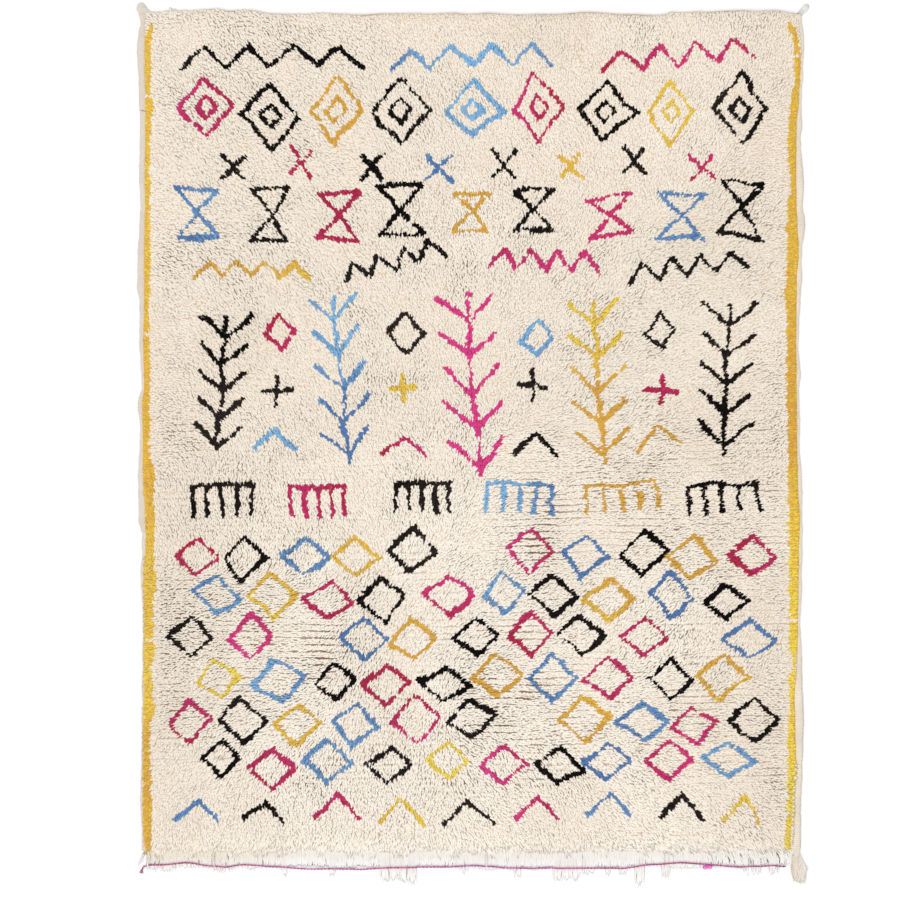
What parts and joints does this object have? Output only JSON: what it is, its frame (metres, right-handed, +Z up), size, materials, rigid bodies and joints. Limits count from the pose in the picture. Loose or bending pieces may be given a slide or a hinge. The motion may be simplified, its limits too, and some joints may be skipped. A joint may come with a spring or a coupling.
{
  "type": "azilal rug",
  "caption": "Flat rectangular hand-knotted wool rug with shaggy pile, overcast sides, warp fringe and a twined thread at its lower end.",
  "frame": {"origin": "on the floor under the middle of the whole rug with its fringe and corner ends", "axes": "+Z up out of the pile, +Y along the rug towards the upper end without fringe, +X across it to the right"},
  "size_m": [2.0194, 2.6526, 0.0189],
  "materials": {
    "pile": "shaggy cream wool pile",
    "pile_yellow": "shaggy ochre yellow wool pile",
    "pile_pink": "shaggy magenta pink wool pile",
    "pile_blue": "shaggy sky blue wool pile",
    "pile_black": "shaggy black wool pile",
    "ground": "plain woven wool and cotton ground",
    "selvedge": "overcast wool cord",
    "corner_cord": "twisted cotton cord",
    "tassel": "loose cream wool strands",
    "fringe": "white cotton warp ends",
    "thread": "twined pink wool thread",
    "bow": "bright pink wool"
  },
  "bodies": {
    "root": {"pile_field": "pile", "selvedge_left": "selvedge", "selvedge_right": "selvedge", "corner_loop": "corner_cord", "corner_end": "corner_cord", "edge_tuft": "tassel", "warp_fringe": "fringe", "corner_tassel": "tassel", "corner_wisp": "fringe", "heading_thread": "thread", "thread_bow": "bow"}
  },
  "joints": []
}
